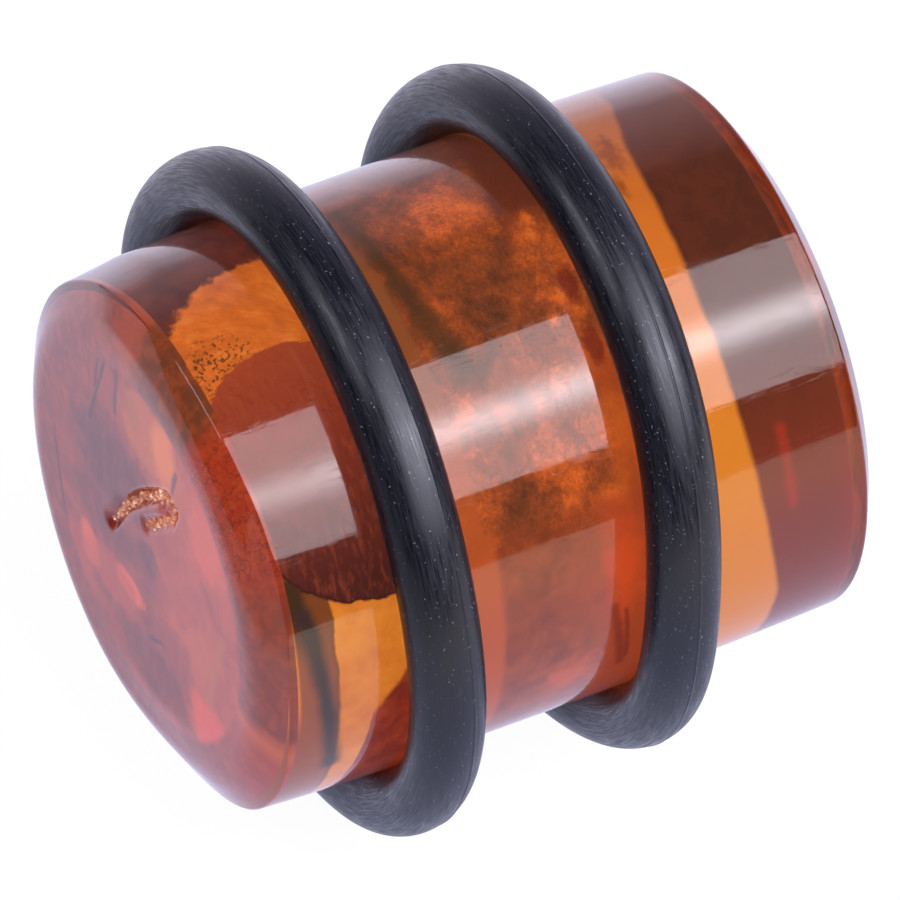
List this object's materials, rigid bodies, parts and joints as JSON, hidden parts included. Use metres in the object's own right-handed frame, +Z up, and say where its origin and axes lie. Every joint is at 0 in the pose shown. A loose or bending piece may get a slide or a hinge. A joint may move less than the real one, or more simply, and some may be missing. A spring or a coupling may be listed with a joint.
{
  "type": "ear plug",
  "caption": "Straight cylindrical amber ear plug with bevelled ends, held in a stretched earlobe by a rubber O-ring near each end.",
  "frame": {"origin": "centre of the plug, on its axis and midway between its end faces", "axes": "+Y along the plug's axis from the front end, which has the pit, to the rear end; +Z up as it lies on its O-rings"},
  "size_m": [0.016, 0.0154, 0.016],
  "materials": {
    "amber": "polished",
    "ring_rubber": "satin"
  },
  "bodies": {
    "plug": {"amber_plug": "amber"},
    "front_o_ring": {"front_o_ring": "ring_rubber"},
    "rear_o_ring": {"rear_o_ring": "ring_rubber"}
  },
  "joints": [
    {"name": "front_o_ring_slide", "type": "slide", "parent": "plug", "child": "front_o_ring", "axis": [0, -1, 0], "range_m": [-0.0015, 0.012]},
    {"name": "rear_o_ring_slide", "type": "slide", "parent": "plug", "child": "rear_o_ring", "axis": [0, 1, 0], "range_m": [-0.0015, 0.012]}
  ]
}
